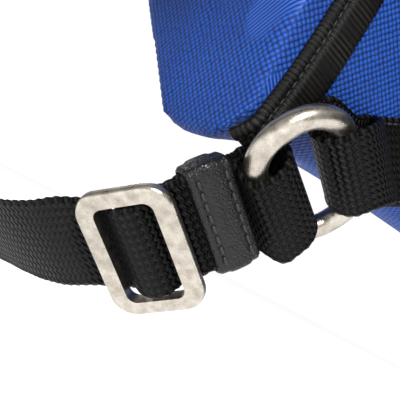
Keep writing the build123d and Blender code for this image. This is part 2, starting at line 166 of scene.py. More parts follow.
def woven_black(name, half=0.0125):
    """Heavy black webbing: small V-shaped knots in rows, and a chain of loops at both edges. Its colour
    follows the weave's height: lighter on the raised knots and loops as painted highlight, darker in the lows
    as painted shade, varied at random by fuzz.
    """
    k = Look(name)
    split = k.node("SeparateXYZ", Vector=k.place("UV"))
    u, v = split.outputs[0], split.outputs[1]
    zig = k.math("DIVIDE", k.math("PINGPONG", k.math("ADD", u, 0.05), 0.00105), 0.00105)
    rows = k.math("ADD", k.math("DIVIDE", v, 0.00155), k.math("MULTIPLY", zig, 0.45))
    wave = k.math("SINE", k.math("MULTIPLY", rows, 2 * math.pi))
    column = k.math("COSINE", k.math("MULTIPLY", k.math("ADD", u, 0.05), 2 * math.pi / 0.0021))
    face = k.math("ADD", k.math("MULTIPLY", wave, 0.6), k.math("MULTIPLY", column, 0.4))
    chain = k.math("SINE", k.math("MULTIPLY", v, 2 * math.pi / 0.0024))
    edge = k.math("GREATER_THAN", k.math("ABSOLUTE", u), half - 0.0012)
    height = k.mix(edge, face, chain)
    # painted light: lift makes the raised parts of the weave lighter as painted highlight and the low parts
    # darker as painted shade
    lift = k.level(k.math("ADD", k.math("MULTIPLY", height, 0.5), 0.5), 0.35, 1.0)
    fuzz = k.noise(k.place(), 3200.0, 2.0)
    lift = k.math("MULTIPLY", lift, k.math("ADD", k.math("MULTIPLY", fuzz, 0.9), 0.4))
    base = k.mix(lift, (0.0004, 0.0004, 0.0004), (0.011, 0.0107, 0.010))
    normal = k.bump(height, 0.0006, 1.0)
    return k.done(base, 0.5, normal, Specular_IOR_Level=0.12)


def grosgrain(name):
    k = Look(name)
    split = k.node("SeparateXYZ", Vector=k.place("UV"))
    ribs = k.math("SINE", k.math("MULTIPLY", split.outputs[1], 2 * math.pi / 0.0012))
    warp = k.math("SINE", k.math("MULTIPLY", split.outputs[0], 2 * math.pi / 0.00028))
    # painted light: the rib crests are painted lighter and the troughs darker as highlight and shade, on top
    # of random tone from the noise
    rib_shade_and_tone = k.level(k.math("ADD", k.math("MULTIPLY", ribs, 0.4), k.noise(k.place(), 900.0)), 0.2, 1.0)
    base = k.mix(rib_shade_and_tone, (0.0006, 0.0006, 0.0005), (0.011, 0.0098, 0.0085))
    normal = k.bump(warp, 0.00004, 0.5)
    return k.done(base, 0.42, normal, Specular_IOR_Level=0.2)


def metal(name):
    """Cast metal, satin antique finish: warm silver, finely grained, with darker worn patches."""
    k = Look(name)
    at = k.place()
    cloud = k.noise(at, 420.0, 5.0)
    speck = k.level(k.noise(at, 3800.0, 2.0), 0.5, 0.78)
    base = k.ramp(cloud, (0.32, (0.40, 0.36, 0.30)), (0.64, (0.60, 0.555, 0.485)))
    base = k.mix(k.math("MULTIPLY", speck, 0.5), base, (0.2, 0.17, 0.13))
    rough = k.math("ADD", 0.23, k.math("MULTIPLY", speck, 0.22))
    rough = k.math("ADD", rough, k.math("MULTIPLY", cloud, 0.1))
    normal = k.bump(k.noise(at, 2600.0, 3.0), 0.00006, 0.4)
    return k.done(base, rough, normal, Metallic=1.0)


def leather(name):
    k = Look(name)
    at = k.place()
    cells = k.node("TexVoronoi", {"feature": "DISTANCE_TO_EDGE"}, Vector=at, Scale=1050.0, Randomness=0.9)
    grain = k.level(cells.outputs["Distance"], 0.0, 0.25)
    crease = k.noise(at, 420.0, 4.0)
    # painted shade: the creases between the grain's pebbles take the darker black and the pebble tops the
    # lighter one, following the same cells that shape the bump
    base = k.mix(grain, (0.0006, 0.0006, 0.0007), (0.005, 0.005, 0.0056))
    normal = k.bump(crease, 0.00035, 0.8)
    normal = k.bump(grain, 0.00012, 0.8, normal)
    rough = k.math("ADD", 0.27, k.math("MULTIPLY", crease, 0.22))
    return k.done(base, rough, normal, Specular_IOR_Level=0.4)


def moulded(name, colour, roughness=0.42):
    k = Look(name)
    at = k.place()
    grain = k.noise(at, 1800.0, 3.0)
    broad = k.noise(at, 60.0, 2.0)
    darker = tuple(c * 0.7 for c in colour)
    base = k.mix(k.level(broad, 0.3, 0.7), darker, colour)
    rough = k.math("ADD", roughness, k.math("MULTIPLY", grain, 0.12))
    return k.done(base, rough, k.bump(grain, 0.00005, 0.4))


def mesh_fabric(name):
    k = Look(name)
    flat = {"voronoi_dimensions": "2D"}
    cells = k.node("TexVoronoi", flat, Vector=k.place("UV"), Scale=420.0, Randomness=0.1)
    hole = k.ramp(cells.outputs["Distance"], (0.2, (0, 0, 0)), (0.38, (1, 1, 1)))
    base = k.mix(hole, (0.001, 0.001, 0.0012), (0.02, 0.0205, 0.023))
    return k.done(base, 0.8, k.bump(hole, 0.0005, 0.9), Specular_IOR_Level=0.25)


def cloth(name, colour, pitch=0.0008):
    """Plain close-woven fabric in one colour. The low points of the weave are painted a darker copy of that
    colour as shade, and the same darker copy gives random blotches.
    """
    k = Look(name)
    uv = k.place("UV")
    split = k.node("SeparateXYZ", Vector=uv)
    turns = 2 * math.pi / pitch
    warp = k.math("SINE", k.math("MULTIPLY", split.outputs[0], turns))
    weft = k.math("SINE", k.math("MULTIPLY", split.outputs[1], turns))
    weave = k.math("MULTIPLY", warp, weft)
    lift = k.level(k.math("ADD", k.math("MULTIPLY", weave, 0.5), 0.5), 0.0, 1.0)
    weave_shade_and_blotch = tuple(c * 0.45 for c in colour)
    # painted shade: the thread crossings keep the colour and the low points of the weave take the darker copy
    base = k.mix(lift, weave_shade_and_blotch, colour)
    base = k.mix(k.math("MULTIPLY", k.noise(k.place(), 45.0), 0.35), base, weave_shade_and_blotch)
    return k.done(base, 0.68, k.bump(weave, 0.0001, 0.6), Specular_IOR_Level=0.25)


def brushed(name, colour, roughness, stretch=(900.0, 900.0, 30.0)):
    k = Look(name)
    at = k.node("Mapping", Vector=k.place(), Scale=stretch).outputs[0]
    streak = k.noise(at, 1.0, 3.0)
    base = k.mix(streak, tuple(c * 0.75 for c in colour), colour)
    rough = k.math("ADD", roughness, k.math("MULTIPLY", streak, 0.15))
    return k.done(base, rough, k.bump(streak, 0.00003, 0.4), Metallic=1.0)


def hose_rubber(name):
    k = Look(name)
    split = k.node("SeparateXYZ", Vector=k.place())
    along = k.math("ADD", split.outputs[0], split.outputs[2])
    rib = k.math("SINE", k.math("MULTIPLY", along, 2 * math.pi / 0.004))
    base = k.mix(k.noise(k.place(), 300.0), (0.006, 0.006, 0.006), (0.02, 0.02, 0.021))
    return k.done(base, 0.5, k.bump(rib, 0.0006, 0.8))


# LIGHT_BLUE is the fabric's lit blue; the darker blue is painted shade for the gaps between the woven dots
LIGHT_BLUE = (0.009, 0.082, 0.43)
GAP_SHADE_BLUE = (0.0014, 0.012, 0.085)
LOOKS = {
    "shell_nylon": nylon("shell_nylon", LIGHT_BLUE, GAP_SHADE_BLUE),
    # the second colour is painted shade for the gaps between the dots of the panel's weave
    "panel_nylon": nylon("panel_nylon", (0.010, 0.088, 0.45), (0.0016, 0.013, 0.09)),
    "binding_tape": grosgrain("binding_tape"),
    "spacer_mesh": mesh_fabric("spacer_mesh"),
    "black_webbing": woven_black("black_webbing"),
    "strap_fabric": cloth("strap_fabric", (0.013, 0.0135, 0.016)),
    "antique_metal": metal("antique_metal"),
    "black_leather": leather("black_leather"),
    "black_plastic": moulded("black_plastic", (0.009, 0.009, 0.0095)),
    "trigger_red": moulded("trigger_red", (0.55, 0.022, 0.014), 0.34),
    "zip_tape": cloth("zip_tape", (0.014, 0.014, 0.016), 0.0006),
    "zip_metal": moulded("zip_metal", (0.03, 0.03, 0.032), 0.25),
    "aluminium_stay": brushed("aluminium_stay", (0.8, 0.8, 0.81), 0.3),
    "cylinder_paint": brushed("cylinder_paint", (0.62, 0.63, 0.65), 0.28, (30.0, 30.0, 900.0)),
    "gauge_body": brushed("gauge_body", (0.72, 0.55, 0.26), 0.26, (500.0, 500.0, 500.0)),
    "airbag_fabric": cloth("airbag_fabric", (0.72, 0.17, 0.02), 0.0005),
    "hose_rubber": hose_rubber("hose_rubber"),
}
THREAD = moulded("stitch_thread", (0.016, 0.016, 0.017), 0.5)
NARROW_WEB = woven_black("narrow_webbing", 0.010)


# ------------------------------------------------------------------ mesh helpers
class Form:
    """Points in millimetres and faces with a place in the weave for each corner, gathered for one piece."""

    def __init__(self):
        self.points, self.faces, self.uvs = [], [], []

    def face(self, corners, uvs):
        self.faces.append(corners)
        self.uvs.append(uvs)

    def piece(self, name, mat, slot, node, side=1, with_node=True, smooth=True):
        """Makes the object. side -1 mirrors it to the other side of the pack."""
        me = bpy.data.meshes.new(name)
        verts = [row((p[0] * side, p[1], p[2])) for p in self.points]
        faces = self.faces if side == 1 else [tuple(reversed(f)) for f in self.faces]
        me.from_pydata(verts, [], faces)
        layer = me.uv_layers.new(name="weave")
        flat = []
        for uv in self.uvs:
            for pair in uv if side == 1 else reversed(uv):
                flat.extend((pair[0] * MM, pair[1] * MM))
        layer.data.foreach_set("uv", flat)
        me.materials.append(mat)
        me.shade_smooth() if smooth else me.shade_flat()
        obj = bpy.data.objects.new(name, me)
        bpy.context.scene.collection.objects.link(obj)
        settle(obj, node, with_node)
        return obj


def settle(obj, node, with_node=True):
    """The piece rides with the node's body, and stands for that node if with_node."""
    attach(obj, NODES[node]["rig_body"])
    if with_node:
        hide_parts(node)


def smooth_route(stations, step=0.9):
    """Stations of (centre, width direction, share of full width) along one smooth line, a step apart."""
    places = [Vector(s[0]) for s in stations]
    acrosses = [Vector(s[1]).normalized() for s in stations]
    shares = [s[2] if len(s) > 2 else 1.0 for s in stations]
    n = len(places)
    if n == 2:
        tangents = [(places[1] - places[0]).normalized()] * 2
    else:
        gaps = [max(1e-6, (places[i + 1] - places[i]).length) for i in range(n - 1)]
        tangents = []
        for i in range(n):
            if i == 0:
                t = (places[1] - places[0]) / gaps[0]
            elif i == n - 1:
                t = (places[-1] - places[-2]) / gaps[-1]
            else:
                before = (places[i] - places[i - 1]) / gaps[i - 1]
                after = (places[i + 1] - places[i]) / gaps[i]
                t = (before * gaps[i] + after * gaps[i - 1]) / (gaps[i] + gaps[i - 1])
            tangents.append(t)
    out = []
    for i in range(n - 1):
        gap = (places[i + 1] - places[i]).length
        parts = max(2, int(math.ceil(gap / step)))
        for k in range(parts + (1 if i == n - 2 else 0)):
            t = k / parts
            a, b = 2 * t**3 - 3 * t**2 + 1, t**3 - 2 * t**2 + t
            c, d = -2 * t**3 + 3 * t**2, t**3 - t**2
            place = places[i] * a + tangents[i] * (b * gap) + places[i + 1] * c + tangents[i + 1] * (d * gap)
            soft = t * t * (3 - 2 * t)
            share = shares[i] + (shares[i + 1] - shares[i]) * soft
            out.append((place, acrosses[i].lerp(acrosses[i + 1], soft).normalized(), share))
    return out


def web(form, stations, wide, thick, step=0.9, columns=14, bead=0.12):
    """Adds a woven strap along the stations. Its two long edges are rounded, with a small bead."""
    route = smooth_route(stations, step)
    ring = []
    half, low = wide / 2, thick / 2
    for k in range(columns + 1):
        s = -math.cos(math.pi * k / columns) * 0.35 + (2 * k / columns - 1) * 0.65
        near = 1 - abs(s)
        if k in (0, columns):
            ring.append((s * half, low * 0.35))
        else:
            ring.append((s * half, low - bead + bead * (1 if near < 0.12 else 0)))
    ring += [(s, -h) for s, h in reversed(ring)]
    base, count = len(form.points), len(ring)
    length, last = 0.0, None
    runs = []
    for i, (place, across, share) in enumerate(route):
        ahead = route[min(i + 1, len(route) - 1)][0] - route[max(i - 1, 0)][0]
        ahead = (ahead - across * ahead.dot(across)).normalized()
        up = ahead.cross(across)
        if last is not None:
            length += (place - last).length
        last = place
        runs.append(length)
        for s, h in ring:
            near = abs(s) > half * 0.93
            loops = 0.16 * math.sin(2 * math.pi * length / 2.4) * (1 if s > 0 else -1) if near else 0.0
            form.points.append(tuple(place + across * (s * share + loops) + up * h))
    for i in range(len(route) - 1):
        for k in range(count):
            j = (k + 1) % count
            a, b = base + i * count + k, base + i * count + j
            form.face(
                (a, b, b + count, a + count),
                [
                    (ring[k][0], runs[i]),
                    (ring[j][0], runs[i]),
                    (ring[j][0], runs[i + 1]),
                    (ring[k][0], runs[i + 1]),
                ],
            )
    end = base + (len(route) - 1) * count
    back = list(reversed(range(count)))
    form.face(tuple(base + k for k in back), [(ring[k][0], 0) for k in back])
    form.face(tuple(end + k for k in range(count)), [(ring[k][0], runs[-1]) for k in range(count)])
    return route


def bead(form, centre, along, length, radius):
    """Adds one rounded stitch or tooth."""
    along = Vector(along).normalized()
    aside = along.orthogonal().normalized()
    other = along.cross(aside)
    base, sides = len(form.points), 6
    rings = ((-0.5, 0.25), (-0.34, 0.85), (0.0, 1.0), (0.34, 0.85), (0.5, 0.25))
    for t, r in rings:
        for k in range(sides):
            a = 2 * math.pi * k / sides
            spoke = aside * math.cos(a) + other * math.sin(a)
            form.points.append(tuple(Vector(centre) + along * (t * length) + spoke * (r * radius)))
    for i in range(len(rings) - 1):
        for k in range(sides):
            j = (k + 1) % sides
            a, b = base + i * sides + k, base + i * sides + j
            form.face((a, b, b + sides, a + sides), [(0, 0)] * 4)
    form.face(tuple(base + k for k in reversed(range(sides))), [(0, 0)] * sides)
    top = base + (len(rings) - 1) * sides
    form.face(tuple(top + k for k in range(sides)), [(0, 0)] * sides)


def seam(form, points, pitch=2.6, radius=0.32):
    """Adds a row of stitches along straight runs through the points."""
    for a, b in zip(points[:-1], points[1:]):
        a, b = Vector(a), Vector(b)
        count = max(1, int(round((b - a).length / pitch)))
        for k in range(count):
            bead(form, a.lerp(b, (k + 0.5) / count), b - a, (b - a).length / count * 0.78, radius)


def waves(co, size, seed, count=14):
    """A smooth, repeatable random field over points, from -1 to 1, with features about size metres across."""
    rng = np.random.RandomState(seed)
    total = np.zeros(len(co))
    for _ in range(count):
        way = rng.normal(size=3)
        way /= np.linalg.norm(way)
        k = 2 * math.pi / (size * rng.uniform(0.7, 1.6))
        total += np.sin(co @ (way * k) + rng.uniform(0, 6.28))
    return total / count * 1.6


def soft_copy(name, node, voxel, slot, rounds=4, shape=None, mat=None, joined=None, move=None):
    """A closed fabric form made from the solids of node and joined, with rounded edges.

    shape gives its relief along the surface, and move a shift of each point.
    """
    start = bmesh.new()
    for source in (node, joined):
        if source:
            start.from_mesh(NODES[source].data)
    me = bpy.data.meshes.new(name)
    start.to_mesh(me)
    start.free()
    obj = bpy.data.objects.new(name, me)
    bpy.context.scene.collection.objects.link(obj)
    mod = obj.modifiers.new("remesh", "REMESH")
    mod.mode, mod.voxel_size = "VOXEL", voxel * MM
    mod = obj.modifiers.new("smooth", "SMOOTH")
    mod.factor, mod.iterations = 0.5, rounds
    me = bpy.data.meshes.new_from_object(obj.evaluated_get(bpy.context.evaluated_depsgraph_get()))
    obj.modifiers.clear()
    obj.data = me
    n = len(me.vertices)
    co, no = np.empty(n * 3), np.empty(n * 3)
    me.vertices.foreach_get("co", co)
    me.vertices.foreach_get("normal", no)
    co, no = co.reshape(-1, 3), no.reshape(-1, 3)
    mm = co / MM - np.array(TO_ROW)
    if shape is not None:
        co = co + no * (shape(mm, no)[:, None] * MM)
    if move is not None:
        co = co + move(mm) * MM
    me.vertices.foreach_set("co", co.ravel())
    me.update()
    weave_by_side(me, co)
    me.materials.clear()
    me.materials.append(mat or LOOKS[slot])
    me.shade_smooth()
    settle(obj, node)
    return obj


def weave_by_side(me, co):
    """Lays the weave on each face along the two axes that it faces least."""
    layer = me.uv_layers.new(name="weave")
    faces = len(me.polygons)
    normals, totals = np.empty(faces * 3), np.empty(faces, int)
    me.polygons.foreach_get("normal", normals)
    me.polygons.foreach_get("loop_total", totals)
    axis = np.repeat(np.abs(normals.reshape(-1, 3)).argmax(1), totals)
    corners = np.empty(len(me.loops), int)
    me.loops.foreach_get("vertex_index", corners)
    at = co[corners]
    u = np.where(axis == 0, at[:, 1], at[:, 0])
    v = np.where(axis == 2, at[:, 1], at[:, 2])
    layer.data.foreach_set("uv", np.stack([u, v], 1).ravel())


def channel(distance, width, depth):
    """A sewn channel: depth at distance 0, gone at about width."""
    return -depth * np.exp(-((distance / width) ** 2))


SIDES = ((-1, "right"), (1, "left"))  # the stations below are on -X; -1 keeps them, 1 mirrors them


def on(side):
    return -side


# ------------------------------------------------------------------ the bag
def bag_relief(p, no):
    out = 0.5 * waves(p, 60.0, 3) + 0.28 * waves(p, 26.0, 4)
    keep = np.clip((p[:, 2] - 6) / 40, 0.25, 1.0)
    seam_side = channel(np.abs(p[:, 1] - 30), 2.2, 0.9) * (np.abs(no[:, 0]) > 0.8)
    return out * keep + seam_side * keep


def gathered_bottom(p):
    """The bottom edge is held down at its two corners and drawn up between them."""
    rise = 12.5 * (1 - np.exp(-np.clip(134 - np.abs(p[:, 0]), 0, None) / 20.0))
    low = np.clip((62 - p[:, 2]) / 62, 0, 1)
    near = np.clip((70 - p[:, 1]) / 40, 0, 1)
    lift = rise * low**2 * (3 - 2 * low) * near**2 * (3 - 2 * near)
    return np.stack([np.zeros(len(p)), np.zeros(len(p)), lift], 1)


soft_copy(
    "bag_body", "bag_shell", 2.0, "shell_nylon", 4, bag_relief, joined="back_panel", move=gathered_bottom
)


def tape_inset(z):
    """How far the seam tape lies inside the side edge of the back, at a height z."""
    fade = np.clip((400 - z) / 120, 0, 1)
    return 17 * (1 - np.exp(-np.clip(z + 3, 0, None) / 45.0)) * fade**2 * (3 - 2 * fade)


def panel_relief(p, no):
    back = np.clip(-no[:, 1], 0, 1)
    inside = np.clip((125 - np.abs(p[:, 0])) / 12, 0, 1) * np.clip((p[:, 2] - 14) / 18, 0, 1)
    rows = channel(np.abs(((p[:, 2] + 20) % 64) - 32), 3.0, 0.8)
    proud = np.clip((tape_inset(p[:, 2]) + np.abs(p[:, 0]) - 131) / 3, 0, 1)
    rim = np.clip((p[:, 2] - 476) / 4, 0, 1)
    return back * (inside * rows + 0.45) - 1.3 * np.maximum(np.maximum(proud, rim), 1 - back)


soft_copy("panel_body", "back_panel", 1.5, "panel_nylon", 3, panel_relief, move=gathered_bottom)


def cover_relief(p, no):
    return 0.5 * waves(p, 45.0, 11) + channel(np.abs(p[:, 2] - 462), 1.8, 0.7)


soft_copy("airbag_lid", "airbag_cover", 1.5, "shell_nylon", 3, cover_relief)


def pocket_relief(p, no):
    edge = channel(84 - np.abs(p[:, 0]) - 7, 1.6, 0.8) + channel(p[:, 2] - 137, 1.6, 0.8)
    return 0.45 * waves(p, 40.0, 15) + edge * np.clip(no[:, 1], 0, 1)


soft_copy("pocket_body", "tool_pocket", 1.5, "shell_nylon", 3, pocket_relief)


def rounded(points, radii, step):
    """A line in X and Z with its corners rounded, sampled about a step apart."""
    line = [Vector(points[0])]
    for i in range(1, len(points) - 1):
        a, b, c = (Vector(points[k]) for k in (i - 1, i, i + 1))
        d1, d2 = (b - a).normalized(), (c - b).normalized()
        turn = d1.angle(d2)
        back = radii[i - 1] * math.tan(turn / 2)
        p, q = b - d1 * back, b + d2 * back
        line.append(p)
        count = max(2, int(radii[i - 1] * turn / step))
        for k in range(1, count + 1):
            t = k / count
            line.append(p * (1 - t) ** 2 + b * (2 * t * (1 - t)) + q * t**2)
    line.append(Vector(points[-1]))
    out = [line[0]]
    for a, b in zip(line[:-1], line[1:]):
        count = max(1, int(round((b - a).length / step)))
        out += [a.lerp(b, (k + 1) / count) for k in range(count)]
    return out


def tape_route(step=0.3):
    """Places, outward directions and surface normals along the tape, and how much of it is folded flat."""
    half = [(-134.45, 9.5), (-138, 100), (-138, 350), (-120, 446), (-72, 498)]
    points = half + [(-x, z) for x, z in reversed(half)]
    line = rounded(points, [60, 60, 70, 60, 60, 70, 60, 60], step)
    inset = []
    for i, p in enumerate(line):
        ahead = (line[min(i + 1, len(line) - 1)] - line[max(i - 1, 0)]).normalized()
        inset.append(p - Vector((-ahead.y, ahead.x)) * float(tape_inset(p.y)))
    places = []
    roll = rounded([(4.6, 2.7), (0, 6.6), (0, 9.3)], [5], step)
    for i, q in enumerate(roll):
        ahead = (roll[min(i + 1, len(roll) - 1)] - roll[max(i - 1, 0)]).normalized()
        x = inset[0].x - 0.2 * (9.5 - q.y)
        places.append((Vector((x, q.x, q.y)), Vector((-1, 0, 0)), Vector((0, -ahead.y, ahead.x)), 1.0))
    tail = [(Vector((-p.x, p.y, p.z)), -o, n, flat) for p, o, n, flat in reversed(places)]
    tail = [(p, Vector((1, 0, 0)), n, flat) for p, o, n, flat in tail]
    for i, p in enumerate(inset):
        ahead = (inset[min(i + 1, len(inset) - 1)] - inset[max(i - 1, 0)]).normalized()
        flat = min(1.0, float(tape_inset(line[i].y)) / 2)
        out = Vector((-ahead.y, 0, ahead.x))
        places.append((Vector((p.x, 0, p.y)), out, Vector((0, -1, 0)), flat))
    return places + tail


def binding_piece():
    """The ribbed tape over the seam between wall and panel. Its ends turn under the bottom edge."""
    route = tape_route()
    form, stitches = Form(), Form()
    profile = [(-8.5, -0.1), (-8.6, -0.9), (-8.1, -1.35), (-7.0, -1.5), (-5.0, -1.6), (-3.0, -1.55)]
    profile += [(-1.7, -1.5), (-1.0, -1.0), (-0.3, -1.45), (0.7, -1.45), (1.35, -0.8)]
    profile += [(1.5, 0.5), (1.5, 4.6), (1.1, 5.0)]
    profile += [(0.25, 5.0), (0.15, 0.2)]
    count, run, runs, next_stitch = len(profile), 0.0, [], 1.0
    across = [0.0]
    for a, b in zip(profile[:-1], profile[1:]):
        across.append(across[-1] + math.dist(a, b))
    for i, (p, out, normal, flat) in enumerate(route):
        if i:
            run += (p - route[i - 1][0]).length
        runs.append(run)
        rib = abs(math.sin(math.pi * run / 1.35)) ** 0.6
        wide = 1 + 0.18 * flat
        for k, (o, y) in enumerate(profile):
            if y > 0:
                y = y + (0.25 - y) * flat
            lift = 0.7 * rib if 1 <= k <= 10 and k != 7 else 0.0
            scallop = -0.3 * rib if k <= 2 else 0.3 * rib if 10 <= k <= 12 else 0.0
            form.points.append(tuple(p + out * (o * wide + scallop - 0.25) + normal * (lift - y)))
        if run > next_stitch:
            after = route[min(i + 1, len(route) - 1)][0]
            bead(stitches, p + out * -1.25 + normal * 1.45, after - p, 2.0, 0.34)
            next_stitch += 2.5
    for i in range(len(route) - 1):
        for k in range(count):
            j = (k + 1) % count
            a, b = i * count + k, i * count + j
            ub = across[j] if j else across[-1] + 8
            form.face(
                (b, a, a + count, b + count),
                [(ub, runs[i]), (across[k], runs[i]), (across[k], runs[i + 1]), (ub, runs[i + 1])],
            )
    form.face(tuple(range(count)), [(u, 0) for u in across])
    last = (len(route) - 1) * count
    form.face(tuple(last + k for k in reversed(range(count))), [(u, run) for u in reversed(across)])
    form.piece("binding_ribs", LOOKS["binding_tape"], "binding_tape", "edge_binding")
    stitches.piece("binding_stitches", THREAD, "binding_tape", "edge_binding", with_node=False)


binding_piece()

# ------------------------------------------------------------------ ring, tab, keeper, slider and strap
RING_CENTRE = Vector((-113.9, -5.9, 2.5))
RING_UP = Vector((0.337, -0.410, 0.848)).normalized()
RING_ALONG = Vector((-0.939, -0.218, 0.268)).normalized()
RING_FACE = RING_UP.cross(RING_ALONG).normalized()
SLIDER_CENTRE = Vector((-137.3, 7.6, -30.6))
TILT, BEND = math.radians(35.4), math.radians(50.0)
WIDTH = Vector((-math.cos(TILT), 0, math.sin(TILT)))
DOWN = Vector((-math.sin(TILT), 0, -math.cos(TILT)))
RUN = DOWN * math.cos(BEND) + Vector((0, math.sin(BEND), 0))
FACE = DOWN * math.sin(BEND) - Vector((0, math.cos(BEND), 0))
RING_BARS, RING_WIRE, WEB_THICK, WEBBING = 22.5, 5.8, 1.6, 25.0
bar_tab = RING_CENTRE + RING_UP * (RING_BARS / 2)
bar_strap = RING_CENTRE - RING_UP * (RING_BARS / 2)


def on_strap(along, out):
    return SLIDER_CENTRE + RUN * along + FACE * out


TAB_ACROSS = Vector((-0.70, 0, 0.71))
stitch = Vector((-92.0, 0, 16.0))
tab_run = Vector((0.91, 0, 0.41))
blend = (RING_ALONG + TAB_ACROSS).normalized()


def round_tab(angle):
    a = math.radians(angle)
    start = bar_tab - RING_ALONG * 2.0 - RING_UP * 1.5
    return start + RING_FACE * (6.9 * math.cos(a)) - RING_UP * (6.9 * math.sin(a))


tab = [
    (stitch + tab_run * 22 + Vector((0, -2.7, 0)), TAB_ACROSS),
    (stitch + Vector((0, -2.9, 0)), TAB_ACROSS),
    ((stitch + bar_tab) * 0.5 + Vector((3, -6.2, 1.0)), blend),
]
tab += [(round_tab(a) + blend * 1.3, blend, 0.9) for a in range(0, 181, 30)]
tab += [
    ((stitch + bar_tab) * 0.5 + Vector((3, 2.0, 1.0)), blend),
    (stitch + Vector((0, -1.2, 0)), TAB_ACROSS),
    (stitch + tab_run * 22 + Vector((0, -1.05, 0)), TAB_ACROSS),
]

loop_round = RING_WIRE / 2 + WEB_THICK / 2 + 2.8
strap_dir = (on_strap(-11, -3.6) - bar_strap).normalized()
keeper_mid = bar_strap + strap_dir * 12.9
keeper_face = strap_dir.cross(WIDTH).normalized()
if keeper_face.y > 0:
    keeper_face = -keeper_face
KEEPER_WIDE = 11.2
half_gap, in_keeper = WEB_THICK / 2 + 0.05, KEEPER_WIDE / 2 + 0.3


def round_ring(angle):
    a = math.radians(angle)
    start = bar_strap + RING_UP * 1.8
    return start + RING_FACE * (loop_round * math.cos(a)) + RING_UP * (loop_round * math.sin(a))


loop_blend = (RING_ALONG * 0.4 + WIDTH * 0.6).normalized()
keeper_at = keeper_mid + WIDTH * 2.4
strap = [
    (on_strap(0.3, -3.0) + WIDTH * 0.2, WIDTH),
    (on_strap(-4, -4.2) + WIDTH * 0.8, WIDTH),
    (on_strap(-10, -4.75) + WIDTH * 1.7, WIDTH),
    (keeper_at + strap_dir * in_keeper - keeper_face * half_gap, WIDTH),
    (keeper_at - strap_dir * in_keeper - keeper_face * half_gap, WIDTH),
    (bar_strap - RING_UP * 2.2 - RING_FACE * 5.7, loop_blend),
]
strap += [(round_ring(a), loop_blend, 0.94) for a in range(180, -1, -30)]
strap += [
    (bar_strap - RING_UP * 2.6 + RING_FACE * 6.0, loop_blend),
    (keeper_at - strap_dir * in_keeper + keeper_face * half_gap, WIDTH),
    (keeper_at + strap_dir * in_keeper + keeper_face * half_gap, WIDTH),
    (on_strap(-10, -3.0) + WIDTH * 1.7, WIDTH),
    (on_strap(-6.4, -2.7) + WIDTH * 1.0, WIDTH),
    (on_strap(-2.4, 0.95) + WIDTH * 0.2, WIDTH, 0.97),
    (on_strap(2.4, 0.95) + WIDTH * 0.2, WIDTH, 0.97),
    (on_strap(6.4, -2.7) + WIDTH * 1.0, WIDTH),
    (on_strap(11, -2.95) + WIDTH * 1.9, WIDTH),
]
YOKE_X, YOKE_Z, PAD_SPLAY, PAD_END_Z = 55.0, 442, math.tan(math.radians(9.0)), 200.0
PAD_HALF = 28  # half the shoulder pad's width
pad_end = Vector((-(YOKE_X + (YOKE_Z - PAD_END_Z) * PAD_SPLAY), -84.5, PAD_END_Z))
pad_dir = (pad_end - Vector((-(YOKE_X + (YOKE_Z - 245) * PAD_SPLAY), -91, 245))).normalized()
slack_offsets = ((16, -2.6), (24, -3.6), (32, -6.5), (40, -10.8))
slack = [on_strap(along, out) + WIDTH * 3.2 for along, out in slack_offsets]
slack += [
    Vector(p)
    for p in (
        (-150.6, 54.5, -44.0),
        (-152.0, 64, -45.0),
        (-155.2, 73.5, -43.0),
        (-161, 81, -38),
        (-169, 84.5, -29),
        (-176, 84, -18),
        (-181, 80, -5),
        (-184, 74, 7),
        (-185, 64, 20),
        (-184.5, 52, 33),
        (-182, 38, 46),
        (-179, 22, 58),
        (-175, 5, 70),
        (-170, -12, 84),
        (-163, -29, 99),
        (-154, -44, 115),
        (-143, -57, 131),
        (-130, -68, 147),
        (-116, -76, 162),
        (-105, -80.5, 176),
    )
]
slack += [pad_end + pad_dir * 10, pad_end + pad_dir * 0.15]


def carried(points, width, early, late, change):
    """The width direction carried along the points without turning, then twisted by degrees."""
    out, last = [], len(points) - 1
    for i, point in enumerate(points):
        ahead = (points[min(i + 1, last)] - points[max(i - 1, 0)]).normalized()
        width = (width - ahead * width.dot(ahead)).normalized()
        turn = math.radians(early * min(i, change) / change + late * max(i - change, 0) / (last - change))
        out.append((point, width * math.cos(turn) + ahead.cross(width) * math.sin(turn)))
    return out


strap += carried(slack, WIDTH, -7.0, -37.3, 4)

for side, name in SIDES:
    form = Form()
    web(form, strap, WEBBING, WEB_THICK, 0.8, 18)
    form.piece("strap_web_" + name, LOOKS["black_webbing"], "black_webbing", "lower_strap_" + name, on(side))
    form = Form()
    web(form, tab, WEBBING, WEB_THICK, 0.7, 18)
    form.piece("tab_web_" + name, LOOKS["black_webbing"], "black_webbing", "lower_tab_" + name, on(side))
    form = Form()
    up = Vector((0, -3.75, 0))
    for k in (1.5, 19.5):
        mid = stitch + tab_run * k + up
        seam(form, [mid - TAB_ACROSS * 10.8, mid + TAB_ACROSS * 10.8], 2.2, 0.3)
    for k in (-10.8, 10.8):
        a = stitch + tab_run * 1.5 + TAB_ACROSS * k + up
        seam(form, [a, a + tab_run * 18], 2.2, 0.3)
    form.piece("tab_stitches_" + name, THREAD, "black_webbing", "lower_tab_" + name, on(side), False)


